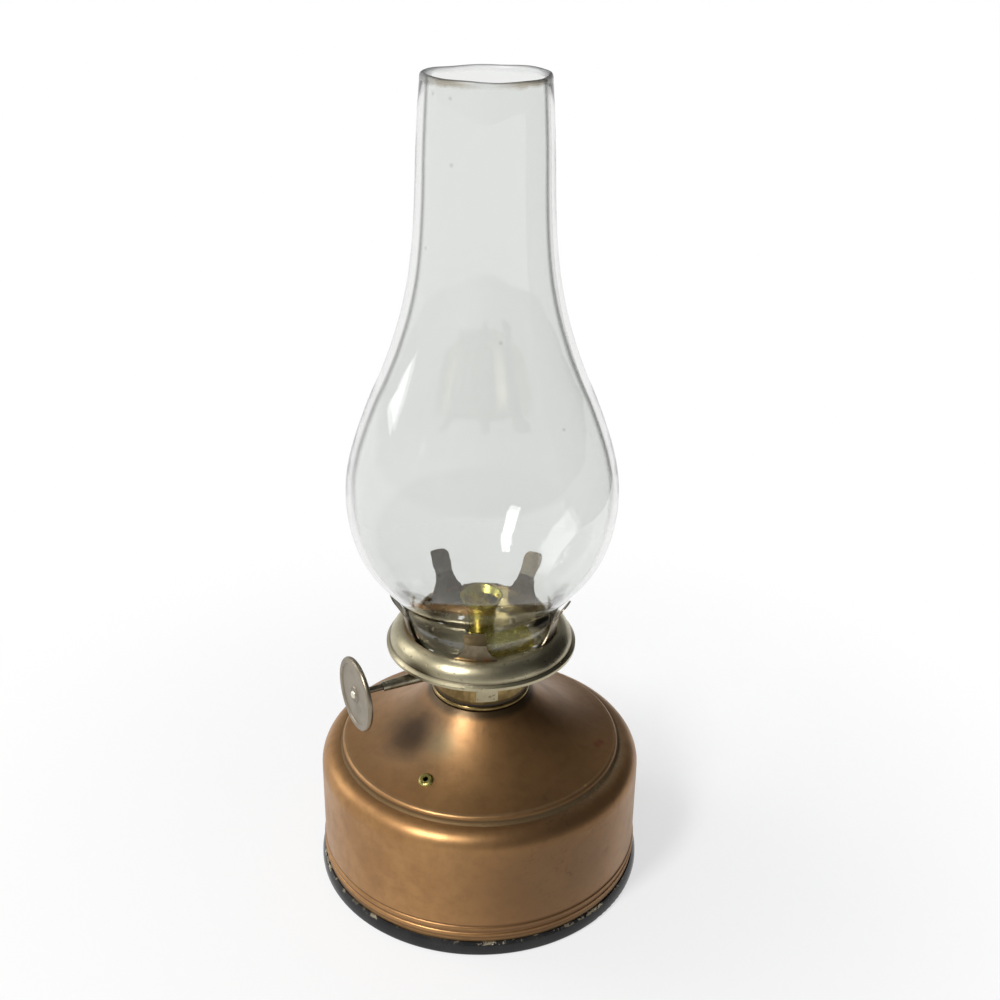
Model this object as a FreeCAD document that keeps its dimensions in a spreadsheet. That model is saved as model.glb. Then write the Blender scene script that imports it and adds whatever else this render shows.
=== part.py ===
import FreeCAD, Part
import math
import os
from types import SimpleNamespace

import Sketcher

os.makedirs("parts", exist_ok=True)

# Small oil lamp: a lacquered font, a screw burner with a wick raiser, and a glass chimney.
# It stands on Z = 0 with its axis on Z. Its front is -Y, and azimuths count from the front towards +X.
# Driving sizes are millimetres and degrees.
SIZES = {
    # Font: bottom plate, drawn shell and its dome
    "rim_width": 0.9,
    "rim_height": 3.1,
    "rim_round": 0.7,
    "rim_belly": 1.0,
    "rim_curl": 0.17,
    "rim_edge": 0.25,
    "foot_width": 1.6,
    "foot_slope": 0.5,
    "plate_recess": 1.0,
    "plate_gauge": 0.5,
    "wall_radius": 34.1,
    "font_gauge": 0.5,
    "bead_gap": 1.65,
    "bead_pitch": 1.65,
    "bead_half_width": 0.5,
    "bead_rise": 0.25,
    "shoulder_height": 25.0,
    "shoulder_round": 4.0,
    "step_run": 1.0,
    "step_rise": 1.7,
    "step_curl": 0.16,
    "dome_rise": 11.6,
    "dome_dip": 1.6,
    "dome_land": 0.9,
    # Air vent in the dome
    "vent_azimuth": -27.0,
    "vent_distance": 5.9,
    "vent_flange_width": 0.6,
    "vent_flange_height": 0.55,
    "vent_seat": 0.15,
    "vent_wall": 0.45,
    "vent_barrel_length": 1.5,
    "vent_bore_radius": 0.55,
    # Screw joint between font and burner
    "collar_wall": 0.95,
    "collar_skirt": 4.9,
    "collar_bead_height": 1.1,
    "collar_bead_rise": 0.45,
    "thread_pitch": 1.5,
    "thread_depth": 0.5,
    "thread_root_half": 0.42,
    "thread_crest_half": 0.18,
    "thread_clearance": 0.15,
    "thread_bite": 0.2,
    "thread_runout": 2.25,
    "skirt_radius": 8.3,
    "skirt_length": 5.7,
    "skirt_gauge": 0.6,
    "seal_gauge": 0.5,
    "seal_clearance": 0.25,
    # Burner neck and gallery
    "neck_radius": 10.0,
    "neck_length": 9.1,
    "neck_gauge": 0.5,
    "floor_gauge": 0.5,
    "air_hole_radius": 0.8,
    "air_hole_gap": 1.4,
    "air_hole_count": 12,
    "ring_gauge": 0.45,
    "crown_rise": 4.6,
    "crown_bulge": 0.62,
    "crown_width": 3.5,
    "brim_width": 0.72,
    "brim_rise": 0.6,
    "brim_fall": 0.54,
    "lip_height": 0.6,
    "prong_gauge": 0.3,
    "prong_clearance": 0.3,
    "prong_count": 5,
    "prong_azimuth": -3.0,
    "prong_foot_height": 0.7,
    "prong_base_width": 8.7,
    "prong_waist_width": 4.3,
    "prong_waist_rise": 4.3,
    "prong_side_curl": 0.55,
    "prong_head_width": 4.5,
    "prong_head_corner": 0.9,
    "prong_tip_rise": 4.1,
    "prong_tip_lean": 2.5,
    "leg_count": 3,
    "leg_azimuth": 8.4,
    "leg_width": 4.3,
    "leg_gauge": 0.4,
    "leg_foot_gap": 1.0,
    "leg_reach": 1.6,
    # Wick, its tubes and its raiser
    "wick_radius": 1.75,
    "wick_clearance": 0.2,
    "wick_top_drop": 4.0,
    "wick_bevel": 0.4,
    "wick_reserve": 5.0,
    "guide_gauge": 0.3,
    "guide_drop": 7.4,
    "guide_overlap": 2.3,
    "tube_height": 10.9,
    "tube_gauge": 0.3,
    "tube_foot_width": 0.4,
    "tube_foot_height": 0.3,
    "tube_foot_curl": 0.15,
    "tube_waist_rise": 1.3,
    "tube_waist_length": 1.2,
    "tube_cone_flare": 0.55,
    "tube_cone_rise": 2.8,
    "tube_bead_flare": 0.5,
    "tube_bead_height": 0.95,
    "tube_bead_bulge": 0.3,
    "tube_lip_flare": 0.85,
    "tube_lip_height": 0.3,
    "tube_lip_curl": 0.1,
    "shaft_turn": 28.4,
    "shaft_radius": 0.65,
    "shaft_clearance": 0.09,
    "shaft_overhang": 0.7,
    "peen_width": 0.2,
    "peen_height": 0.4,
    "peen_curl": 0.2,
    "sleeve_root_gauge": 0.66,
    "sleeve_end_gauge": 0.24,
    "sleeve_reach": 24.2,
    "sleeve_clearance": 0.3,
    "wheel_radius": 2.0,
    "wheel_width": 1.6,
    "wheel_teeth": 10,
    "tooth_height": 0.5,
    "tooth_bite": 0.25,
    "tooth_clearance": 0.15,
    "window_clearance": 0.35,
    "cover_back": 2.5,
    "cover_front": 9.0,
    "cover_width": 3.3,
    "cover_height": 2.1,
    "cover_gauge": 0.4,
    "shaft_bare": 5.6,
    "knob_radius": 7.62,
    "knob_thickness": 1.1,
    "knob_edge_rise": 0.35,
    "knob_border": 1.22,
    "knob_boss_width": 0.85,
    "knob_dish": 0.2,
    # Glass chimney: radii of its outer face at heights above its foot
    "glass_height": 114.0,
    "glass_wall": 1.5,
    "glass_rim_round": 0.6,
    "glass_foot_radius": 14.3,
    "glass_knee_radius": 15.8,
    "glass_knee_height": 8.5,
    "glass_flare_radius": 20.8,
    "glass_flare_height": 16.5,
    "glass_low_radius": 25.4,
    "glass_low_height": 24.3,
    "glass_bulge_radius": 26.95,
    "glass_bulge_height": 34.2,
    "glass_high_radius": 25.0,
    "glass_high_height": 45.6,
    "glass_fall_radius": 19.5,
    "glass_fall_height": 59.5,
    "glass_throat_radius": 14.8,
    "glass_throat_height": 74.5,
    "glass_stack_radius": 12.85,
    "glass_stack_height": 90.5,
    "glass_top_radius": 11.55,
}

doc = FreeCAD.newDocument("oil_lamp")
sheet = doc.addObject("Spreadsheet::Sheet", "Sizes")
for row, (alias, number) in enumerate(SIZES.items(), start=1):
    sheet.set(f"A{row}", alias)
    sheet.set(f"B{row}", str(number))
    sheet.setAlias(f"B{row}", alias)
doc.recompute()


class Size:
    """A number together with the sheet expression that it is worked out from."""

    def __init__(self, number, text):
        self.number = number
        self.text = text

    def __add__(self, other):
        other = as_size(other)
        return Size(self.number + other.number, f"({self.text} + {other.text})")

    def __sub__(self, other):
        other = as_size(other)
        return Size(self.number - other.number, f"({self.text} - {other.text})")

    def __rsub__(self, other):
        return as_size(other) - self

    def __mul__(self, other):
        other = as_size(other)
        return Size(self.number * other.number, f"({self.text} * {other.text})")

    def __truediv__(self, other):
        other = as_size(other)
        return Size(self.number / other.number, f"({self.text} / {other.text})")

    def __neg__(self):
        return Size(-self.number, f"(-{self.text})")


def as_size(value):
    return value if isinstance(value, Size) else Size(value, str(value))


def root(size):
    return Size(math.sqrt(size.number), f"sqrt({size.text})")


def sine(angle):
    return Size(math.sin(math.radians(angle.number)), f"sin({angle.text})")


def cosine(angle):
    return Size(math.cos(math.radians(angle.number)), f"cos({angle.text})")


def arc_sine(size):
    return Size(math.degrees(math.asin(size.number)), f"asin({size.text})")


def chord_radius(run, rise, height):
    """Radius of the arc that spans run by rise and bulges by height."""
    return ((run * run + rise * rise) / 4 + height * height) / (height * 2)


size = SimpleNamespace(**{alias: Size(number, f"Sizes.{alias}") for alias, number in SIZES.items()})
ZERO = as_size(0.0)
QUARTER_BULGE = 1 - math.cos(math.pi / 4)
TOOTH_ROOT_SHARE = 0.8
TOOTH_POINT_SHARE = 0.2

# Heights and radii where the pieces meet
plate_top = size.plate_recess + size.plate_gauge
rim_radius = size.wall_radius + size.rim_width
bead_low_height = size.rim_height + size.bead_gap
bead_high_height = bead_low_height + size.bead_pitch
shoulder_radius = size.wall_radius - size.shoulder_round
shoulder_top = size.shoulder_height + size.shoulder_round
dome_radius = shoulder_radius - size.step_run
dome_foot = shoulder_top + size.step_rise
dome_top = dome_foot + size.dome_rise
collar_top = dome_top + size.collar_bead_height
collar_bore = size.skirt_radius + size.thread_clearance
collar_radius = collar_bore + size.collar_wall
dome_top_radius = collar_radius + size.dome_land
neck_foot = collar_top + size.seal_gauge
floor_foot = neck_foot + size.neck_length
floor_top = floor_foot + size.floor_gauge
crown_top = floor_top + size.crown_rise
knee_height = floor_top + size.glass_knee_height
glass_slope = (size.glass_knee_radius - size.glass_foot_radius) / size.glass_knee_height
glass_at_crown = size.glass_foot_radius + glass_slope * size.crown_rise
prong_face = glass_at_crown + size.prong_clearance
ring_bore = prong_face + size.prong_gauge
brim_radius = ring_bore + size.ring_gauge + size.crown_width
guide_bore = size.wick_radius + size.wick_clearance
guide_radius = guide_bore + size.guide_gauge
cover_top = floor_top + size.cover_height
tube_top = floor_top + size.tube_height
shaft_bore = size.shaft_radius + size.shaft_clearance
sleeve_root_radius = shaft_bore + size.sleeve_root_gauge
shaft_height = floor_foot - sleeve_root_radius - size.sleeve_clearance
shaft_offset = size.wick_radius + size.tooth_clearance + size.wheel_radius
neck_reach = root(size.neck_radius * size.neck_radius - shaft_offset * shaft_offset)
knob_outside = -(size.sleeve_reach + size.shaft_bare + size.knob_thickness / 2)
knob_inside = knob_outside + size.knob_thickness

nodes = []


def finish(item, label):
    """Keep an object as a named piece of the lamp."""
    item.Label = label
    nodes.append(item)
    return item


def new_body(name):
    return doc.addObject("PartDesign::Body", name)


def new_sketch(body, name, role):
    sketch = body.newObject("Sketcher::SketchObject", name)
    plane = next(item for item in body.Origin.OriginFeatures if item.Role == role)
    sketch.AttachmentSupport = [(plane, "")]
    sketch.MapMode = "FlatFace"
    return sketch


def pin(sketch, vertex, axis, place):
    """Hold one coordinate of a vertex at a size measured from the sketch origin."""
    if place.number == 0:
        base_line = -2 if axis == "X" else -1
        sketch.addConstraint(Sketcher.Constraint("PointOnObject", *vertex, base_line))
        return
    index = sketch.addConstraint(Sketcher.Constraint(f"Distance{axis}", -1, 1, *vertex, place.number))
    sketch.setExpression(f"Constraints[{index}]", place.text)


def arc_between(start, end, bulge):
    """Arc between two points that turns left for a positive bulge and right for a negative one."""
    first, last = (start, end) if bulge > 0 else (end, start)
    across = FreeCAD.Vector(last.y - first.y, first.x - last.x, 0).normalize()
    return Part.Arc(first, (first + last) / 2 + across * abs(bulge), last)


def draw(sketch, corners):
    """Closed outline, counter-clockwise. A third value in a corner is the bulge of the arc that leads to it:
    outwards if positive, inwards if negative."""
    points = [FreeCAD.Vector(corner[0].number, corner[1].number, 0) for corner in corners]
    entries = []
    exits = []
    for index, corner in enumerate(corners):
        start, end = points[index - 1], points[index]
        if len(corner) == 2:
            edge = sketch.addGeometry(Part.LineSegment(start, end))
            forward = True
        else:
            forward = corner[2].number > 0
            edge = sketch.addGeometry(arc_between(start, end, corner[2].number))
            run = corner[0] - corners[index - 1][0]
            rise = corner[1] - corners[index - 1][1]
            height = corner[2] if forward else -corner[2]
            radius = chord_radius(run, rise, height)
            held = sketch.addConstraint(Sketcher.Constraint("Radius", edge, radius.number))
            sketch.setExpression(f"Constraints[{held}]", radius.text)
        entries.append((edge, 1 if forward else 2))
        exits.append((edge, 2 if forward else 1))
    for index, corner in enumerate(corners):
        following = entries[(index + 1) % len(corners)]
        sketch.addConstraint(Sketcher.Constraint("Coincident", *exits[index], *following))
        pin(sketch, exits[index], "X", corner[0])
        pin(sketch, exits[index], "Y", corner[1])


def turned(name, corners):
    """Body turned about Z from an outline of radius and height."""
    body = new_body(name)
    sketch = new_sketch(body, f"{name}_section", "XZ_Plane")
    draw(sketch, corners)
    turning = body.newObject("PartDesign::Revolution", f"{name}_turning")
    turning.Profile = sketch
    turning.ReferenceAxis = (sketch, ["V_Axis"])
    turning.Angle = 360
    doc.recompute()
    return body


def helix(body, kind, name, corners, height):
    """Thread ridge or thread groove, right-handed, from a section at the side of the body."""
    sketch = new_sketch(body, f"{name}_section", "XZ_Plane")
    draw(sketch, corners)
    thread = body.newObject(kind, name)
    thread.Profile = sketch
    thread.ReferenceAxis = (sketch, ["V_Axis"])
    thread.Mode = "pitch-height-angle"
    thread.setExpression("Pitch", size.thread_pitch.text)
    thread.setExpression("Height", height.text)
    body.Tip = thread
    doc.recompute()


def padded(name, role, corners, length):
    """Body pushed from a flat outline along the plane's normal."""
    body = new_body(name)
    sketch = new_sketch(body, f"{name}_outline", role)
    draw(sketch, corners)
    pad = body.newObject("PartDesign::Pad", f"{name}_pad")
    pad.Profile = sketch
    pad.setExpression("Length", length.text)
    doc.recompute()
    return body


def place(item, x, y, z, turn, tilt):
    """Set an object down with its own Z tilted about Y, then turned about Z."""
    item.setExpression(
        "Placement",
        f"placement(vector({x.text}; {y.text}; {z.text}); rotationz({turn.text}) * rotationy({tilt.text}))",
    )


def place_round(item, azimuth):
    """Turn an object whose own outward side is +X to an azimuth of the lamp."""
    place(item, ZERO, ZERO, ZERO, azimuth - 90, ZERO)


def place_on_shaft(item):
    """Lay an object's own Z along the wick shaft, knob at the negative end, feed wheel at zero."""
    x = shaft_offset * sine(size.shaft_turn)
    y = -(shaft_offset * cosine(size.shaft_turn))
    place(item, x, y, shaft_height, size.shaft_turn, as_size(90))


def cylinder(name, radius, height):
    item = doc.addObject("Part::Cylinder", name)
    item.setExpression("Radius", radius.text)
    item.setExpression("Height", height.text)
    return item


def block(name, length, width, height):
    item = doc.addObject("Part::Box", name)
    item.setExpression("Length", length.text)
    item.setExpression("Width", width.text)
    item.setExpression("Height", height.text)
    return item


def joined(kind, name, base, tool):
    item = doc.addObject(kind, name)
    item.Base = base
    item.Tool = tool
    doc.recompute()
    return item


# Bottom plate: black tin, recessed so that the lamp stands on the rolled rim
foot_inside = rim_radius - size.rim_round - size.foot_width
rim_bulge = size.rim_round * QUARTER_BULGE
finish(turned("base_plate", [
    (ZERO, size.plate_recess),
    (foot_inside - size.foot_slope, size.plate_recess),
    (foot_inside, ZERO),
    (rim_radius - size.rim_round, ZERO),
    (rim_radius, size.rim_round, rim_bulge),
    (rim_radius, size.rim_belly),
    (size.wall_radius + size.rim_edge, size.rim_height, size.rim_curl),
    (size.wall_radius, size.rim_height),
    (size.wall_radius, plate_top),
    (ZERO, plate_top),
]), "base_plate")

# Font shell: drawn sheet with two beads above the rim, a round shoulder, a step and a hollow-sided dome
shell_inside = size.wall_radius - size.font_gauge
step_half_run = size.step_run / 2
step_half_rise = size.step_rise / 2
font_body = turned("font_body", [
    (shell_inside, plate_top),
    (size.wall_radius, plate_top),
    (size.wall_radius, bead_low_height - size.bead_half_width),
    (size.wall_radius, bead_low_height + size.bead_half_width, size.bead_rise),
    (size.wall_radius, bead_high_height - size.bead_half_width),
    (size.wall_radius, bead_high_height + size.bead_half_width, size.bead_rise),
    (size.wall_radius, size.shoulder_height),
    (shoulder_radius, shoulder_top, size.shoulder_round * QUARTER_BULGE),
    (shoulder_radius - step_half_run, shoulder_top + step_half_rise, -size.step_curl),
    (dome_radius, dome_foot, size.step_curl),
    (dome_top_radius, dome_top, -size.dome_dip),
    (collar_radius, dome_top),
    (collar_radius, dome_top - size.font_gauge),
    (dome_top_radius, dome_top - size.font_gauge),
    (dome_radius - size.font_gauge, dome_foot - size.font_gauge, size.dome_dip),
    (shoulder_radius - size.font_gauge, shoulder_top - size.font_gauge),
    (shoulder_radius, shoulder_top - size.font_gauge),
    (shell_inside, size.shoulder_height, -((size.shoulder_round - size.font_gauge) * QUARTER_BULGE)),
])

# The vent stands square to the hollow side of the dome
dome_run = dome_radius - dome_top_radius
dome_curve = chord_radius(dome_run, size.dome_rise, size.dome_dip)
dome_chord = root(dome_run * dome_run + size.dome_rise * size.dome_rise)
dome_centre_radius = (dome_radius + dome_top_radius) / 2 + (
    (dome_curve - size.dome_dip) * size.dome_rise / dome_chord)
dome_centre_height = (dome_foot + dome_top) / 2 + (dome_curve - size.dome_dip) * dome_run / dome_chord
vent_from_axis = dome_radius - size.vent_distance
vent_across = dome_centre_radius - vent_from_axis
vent_height = dome_centre_height - root(dome_curve * dome_curve - vent_across * vent_across)
vent_tilt = arc_sine(vent_across / dome_curve)


def place_vent(item):
    x = vent_from_axis * sine(size.vent_azimuth)
    y = -(vent_from_axis * cosine(size.vent_azimuth))
    place(item, x, y, vent_height, size.vent_azimuth - 90, vent_tilt)


vent_barrel_foot = -size.vent_barrel_length
vent_barrel_radius = size.vent_bore_radius + size.vent_wall
vent_flange_radius = vent_barrel_radius + size.vent_flange_width
vent_hole = turned("vent_hole", [
    (ZERO, vent_barrel_foot),
    (vent_barrel_radius, vent_barrel_foot),
    (vent_barrel_radius, size.vent_barrel_length),
    (ZERO, size.vent_barrel_length),
])
place_vent(vent_hole)
finish(joined("Part::Cut", "font_shell", font_body, vent_hole), "font_shell")

# The eyelet's head is cut to the dome that it is pressed on, and its barrel goes through the dome
vent_head = turned("vent_head", [
    (size.vent_bore_radius, -size.vent_seat),
    (vent_flange_radius, -size.vent_seat),
    (vent_flange_radius, ZERO),
    (vent_barrel_radius, size.vent_flange_height, size.vent_flange_height * QUARTER_BULGE),
    (size.vent_bore_radius, size.vent_flange_height),
])
place_vent(vent_head)
seated_head = joined("Part::Cut", "seated_head", vent_head, font_body)
vent_barrel = turned("vent_barrel", [
    (size.vent_bore_radius, vent_barrel_foot),
    (vent_barrel_radius, vent_barrel_foot),
    (vent_barrel_radius, size.vent_flange_height),
    (size.vent_bore_radius, size.vent_flange_height),
])
place_vent(vent_barrel)
finish(joined("Part::Fuse", "vent_eyelet", seated_head, vent_barrel), "vent_eyelet")

# Collar: brass ring in the font's mouth, with a bead on the dome and the inside thread
collar_foot = dome_top - size.collar_skirt
collar_bead_radius = collar_radius + size.collar_bead_rise
thread_start = neck_foot - size.skirt_length + size.thread_pitch / 2
groove_start = thread_start - size.thread_pitch
groove_half = size.thread_root_half + size.thread_clearance
groove_tip_half = size.thread_crest_half + size.thread_clearance
groove_mouth = collar_bore - size.thread_clearance
groove_root = collar_bore + size.thread_depth
collar = turned("collar", [
    (collar_bore, collar_foot),
    (collar_radius, collar_foot),
    (collar_radius, dome_top),
    (collar_bead_radius, dome_top),
    (collar_bead_radius, collar_top, size.collar_bead_rise),
    (collar_bore, collar_top),
])
helix(collar, "PartDesign::SubtractiveHelix", "collar_thread", [
    (groove_mouth, groove_start - groove_half),
    (groove_root, groove_start - groove_tip_half),
    (groove_root, groove_start + groove_tip_half),
    (groove_mouth, groove_start + groove_half),
], collar_top - groove_start + size.thread_pitch)
finish(collar, "collar")

# Seal: thin washer that the burner is screwed down on
thread_crest = size.skirt_radius + size.thread_depth
finish(turned("burner_seal", [
    (thread_crest + size.seal_clearance, collar_top),
    (collar_bead_radius, collar_top),
    (collar_bead_radius, neck_foot),
    (thread_crest + size.seal_clearance, neck_foot),
]), "burner_seal")

# Burner cup: brass neck with a closed bottom round the wick guide and a threaded skirt below
skirt_foot = neck_foot - size.skirt_length
skirt_inside = size.skirt_radius - size.skirt_gauge
neck_inside = size.neck_radius - size.neck_gauge
cup_body = turned("cup_body", [
    (guide_radius, neck_foot),
    (skirt_inside, neck_foot),
    (skirt_inside, skirt_foot),
    (size.skirt_radius, skirt_foot),
    (size.skirt_radius, neck_foot),
    (size.neck_radius, neck_foot),
    (size.neck_radius, floor_foot),
    (neck_inside, floor_foot),
    (neck_inside, neck_foot + size.neck_gauge),
    (guide_radius, neck_foot + size.neck_gauge),
])
ridge_root = size.skirt_radius - size.thread_bite
helix(cup_body, "PartDesign::AdditiveHelix", "skirt_thread", [
    (ridge_root, thread_start - size.thread_root_half),
    (thread_crest, thread_start - size.thread_crest_half),
    (thread_crest, thread_start + size.thread_crest_half),
    (ridge_root, thread_start + size.thread_root_half),
], size.skirt_length - size.thread_runout)
bearing_reach = neck_reach + size.neck_radius
neck_bearings = turned("neck_bearings", [
    (ZERO, -bearing_reach),
    (shaft_bore, -bearing_reach),
    (shaft_bore, bearing_reach),
    (ZERO, bearing_reach),
])
place_on_shaft(neck_bearings)
finish(joined("Part::Cut", "burner_cup", cup_body, neck_bearings), "burner_cup")

# Gallery floor: air plate on top of the neck, with air holes outside it and a slot for the feed wheel
floor_body = turned("floor_body", [
    (guide_radius, floor_foot),
    (ring_bore, floor_foot),
    (ring_bore, floor_top),
    (guide_radius, floor_top),
])
hole_circle = size.neck_radius + size.air_hole_gap
hole_sketch = new_sketch(floor_body, "air_hole_circle", "XY_Plane")
hole_edge = hole_sketch.addGeometry(Part.Circle(
    FreeCAD.Vector(hole_circle.number, 0, 0), FreeCAD.Vector(0, 0, 1), size.air_hole_radius.number))
pin(hole_sketch, (hole_edge, 3), "X", hole_circle)
pin(hole_sketch, (hole_edge, 3), "Y", ZERO)
hole_radius = hole_sketch.addConstraint(Sketcher.Constraint("Radius", hole_edge, size.air_hole_radius.number))
hole_sketch.setExpression(f"Constraints[{hole_radius}]", size.air_hole_radius.text)
air_hole = floor_body.newObject("PartDesign::Pocket", "air_hole")
air_hole.Profile = hole_sketch
air_hole.Type = "ThroughAll"
air_hole.Midplane = True
doc.recompute()
air_holes = floor_body.newObject("PartDesign::PolarPattern", "air_holes")
air_holes.Originals = [air_hole]
air_holes.Axis = (hole_sketch, ["N_Axis"])
air_holes.Angle = 360
air_holes.setExpression("Occurrences", size.air_hole_count.text)
floor_body.Tip = air_holes
doc.recompute()
hole_step = as_size(360) / size.air_hole_count
place_round(floor_body, size.leg_azimuth + hole_step / 2)

slot_length = (size.wheel_radius + size.window_clearance) * 2
slot_width = size.wheel_width + size.window_clearance * 2


def wheel_space(name):
    """Room for the feed wheel, as a block that is set on the shaft."""
    item = turned(name, [
        (ZERO, -(slot_width / 2)),
        (slot_length / 2, -(slot_width / 2)),
        (slot_length / 2, slot_width / 2),
        (ZERO, slot_width / 2),
    ])
    place_on_shaft(item)
    return item


finish(joined("Part::Cut", "gallery_floor", floor_body, wheel_space("floor_slot")), "gallery_floor")

# Gallery ring: nickel-plated crown, one sheet from the wall round the floor over to the brim
wall_outside = ring_bore + size.ring_gauge
brim_foot = floor_foot + size.brim_rise
brim_top = brim_foot + size.lip_height
crown_edge = brim_radius - size.brim_width
crown_foot = brim_top + size.brim_fall
finish(turned("gallery_ring", [
    (ring_bore, floor_foot),
    (wall_outside, floor_foot),
    (wall_outside, crown_top - size.ring_gauge),
    (crown_edge - size.ring_gauge, crown_foot - size.ring_gauge, -size.crown_bulge),
    (brim_radius - size.ring_gauge, brim_top - size.ring_gauge),
    (brim_radius - size.ring_gauge, brim_foot),
    (brim_radius, brim_foot),
    (brim_radius, brim_top),
    (crown_edge, crown_foot),
    (wall_outside, crown_top, size.crown_bulge),
    (ring_bore, crown_top),
]), "gallery_ring")

# Prongs: spring leaves inside the crown, leaning with the glass and turned out at their rounded heads
leaf_foot = floor_top + size.prong_foot_height
knee_face = size.glass_knee_radius + size.prong_clearance
tip_face = knee_face + size.prong_tip_lean
tip_height = knee_height + size.prong_tip_rise
leaf = turned("prong_leaf", [
    (prong_face, leaf_foot),
    (ring_bore, leaf_foot),
    (ring_bore, crown_top),
    (knee_face + size.prong_gauge, knee_height),
    (tip_face + size.prong_gauge, tip_height),
    (tip_face, tip_height),
    (knee_face, knee_height),
    (prong_face, crown_top),
])
base_half = size.prong_base_width / 2
waist_half = size.prong_waist_width / 2
waist_height = crown_top + size.prong_waist_rise
head_half = size.prong_head_width / 2
corner_height = tip_height - size.prong_head_corner
corner_bulge = size.prong_head_corner * QUARTER_BULGE
leaf_outline = padded("prong_outline", "YZ_Plane", [
    (-base_half, leaf_foot),
    (base_half, leaf_foot),
    (base_half, crown_top),
    (waist_half, waist_height, -size.prong_side_curl),
    (head_half, corner_height),
    (head_half - size.prong_head_corner, tip_height, corner_bulge),
    (size.prong_head_corner - head_half, tip_height),
    (-head_half, corner_height, corner_bulge),
    (-waist_half, waist_height),
    (-base_half, crown_top, -size.prong_side_curl),
], brim_radius)
for number in range(SIZES["prong_count"]):
    prong = joined("Part::Common", f"prong_{number + 1}", leaf, leaf_outline)
    place_round(prong, size.prong_azimuth + as_size(360) / size.prong_count * number)
    finish(prong, f"prong_{number + 1}")

# Legs: strips that hold the floor on the neck, each turned out under the floor
leg_outside = size.neck_radius + size.leg_gauge
leg_angle = arc_sine(size.leg_width / (size.neck_radius * 2)) * 2
for number in range(SIZES["leg_count"]):
    label = f"gallery_leg_{number + 1}"
    leg = turned(label, [
        (size.neck_radius, neck_foot + size.leg_foot_gap),
        (leg_outside, neck_foot + size.leg_foot_gap),
        (leg_outside, floor_foot - size.leg_gauge),
        (leg_outside + size.leg_reach, floor_foot - size.leg_gauge),
        (leg_outside + size.leg_reach, floor_foot),
        (size.neck_radius, floor_foot),
    ])
    leg.Tip.Midplane = True
    leg.Tip.setExpression("Angle", leg_angle.text)
    place_round(leg, size.leg_azimuth + as_size(360) / size.leg_count * number)
    finish(leg, label)

# Wick guide: plain tube from the font up into the tube head, open beside the feed wheel
guide_top = cover_top + size.guide_overlap
guide_foot = neck_foot - size.guide_drop
guide_body = turned("guide_body", [
    (guide_bore, guide_foot),
    (guide_radius, guide_foot),
    (guide_radius, guide_top),
    (guide_bore, guide_top),
])
finish(joined("Part::Cut", "wick_guide", guide_body, wheel_space("guide_window")), "wick_guide")

# Wick tube: flared brass head pushed over the guide, with a bead under its rolled lip
tube_waist = guide_radius + size.tube_gauge
tube_foot_radius = tube_waist + size.tube_foot_width
tube_cone_radius = tube_waist + size.tube_cone_flare
tube_bead_radius = tube_cone_radius + size.tube_bead_flare
tube_lip_radius = tube_bead_radius + size.tube_lip_flare
waist_foot = cover_top + size.tube_foot_height + size.tube_waist_rise
waist_top = waist_foot + size.tube_waist_length
cone_top = waist_top + size.tube_cone_rise
bead_top = tube_top - size.tube_lip_height
bead_foot = bead_top - size.tube_bead_height
lip_inside = tube_lip_radius - size.tube_gauge
finish(turned("wick_tube", [
    (guide_radius, cover_top),
    (tube_foot_radius, cover_top),
    (tube_foot_radius, cover_top + size.tube_foot_height),
    (tube_waist, waist_foot, -size.tube_foot_curl),
    (tube_waist, waist_top),
    (tube_cone_radius, cone_top),
    (tube_bead_radius, bead_foot),
    (lip_inside, bead_top, size.tube_bead_bulge),
    (tube_lip_radius, tube_top, size.tube_lip_curl),
    (lip_inside, tube_top),
    (tube_bead_radius - size.tube_gauge, bead_foot),
    (tube_cone_radius - size.tube_gauge, cone_top),
    (guide_radius, waist_top),
]), "wick_tube")

# Wheel cover: brass channel on the floor over the feed wheel and the shaft
cover_length = size.cover_back + size.cover_front
cover_outer = block("cover_outer", size.cover_height, size.cover_width, cover_length)
cover_inner = block(
    "cover_inner",
    size.cover_height - size.cover_gauge,
    size.cover_width - size.cover_gauge * 2,
    cover_length - size.cover_gauge * 2,
)
cover_side = guide_radius + size.tooth_clearance
cover_shift = cover_side + size.cover_width - shaft_offset


def place_cover(item, top, width, back):
    """Stand a block on the floor, along the shaft and in front of the guide."""
    across = shaft_offset + width / 2 + (cover_shift - size.cover_width / 2)
    x = across * sine(size.shaft_turn) - back * cosine(size.shaft_turn)
    y = -(across * cosine(size.shaft_turn)) - back * sine(size.shaft_turn)
    place(item, x, y, top, size.shaft_turn, as_size(90))


place_cover(cover_outer, cover_top, size.cover_width, size.cover_back)
place_cover(
    cover_inner,
    cover_top - size.cover_gauge,
    size.cover_width - size.cover_gauge * 2,
    size.cover_back - size.cover_gauge,
)
finish(joined("Part::Cut", "wheel_cover", cover_outer, cover_inner), "wheel_cover")

# Shaft sleeve: tapered tube, its root cut to sit on the round neck
sleeve_end_radius = shaft_bore + size.sleeve_end_gauge
sleeve_body = turned("sleeve_body", [
    (shaft_bore, -size.sleeve_reach),
    (sleeve_end_radius, -size.sleeve_reach),
    (sleeve_root_radius, -neck_reach),
    (sleeve_root_radius, ZERO),
    (shaft_bore, ZERO),
])
place_on_shaft(sleeve_body)
neck_core = cylinder("neck_core", size.neck_radius, floor_top)
finish(joined("Part::Cut", "shaft_sleeve", sleeve_body, neck_core), "shaft_sleeve")

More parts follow.
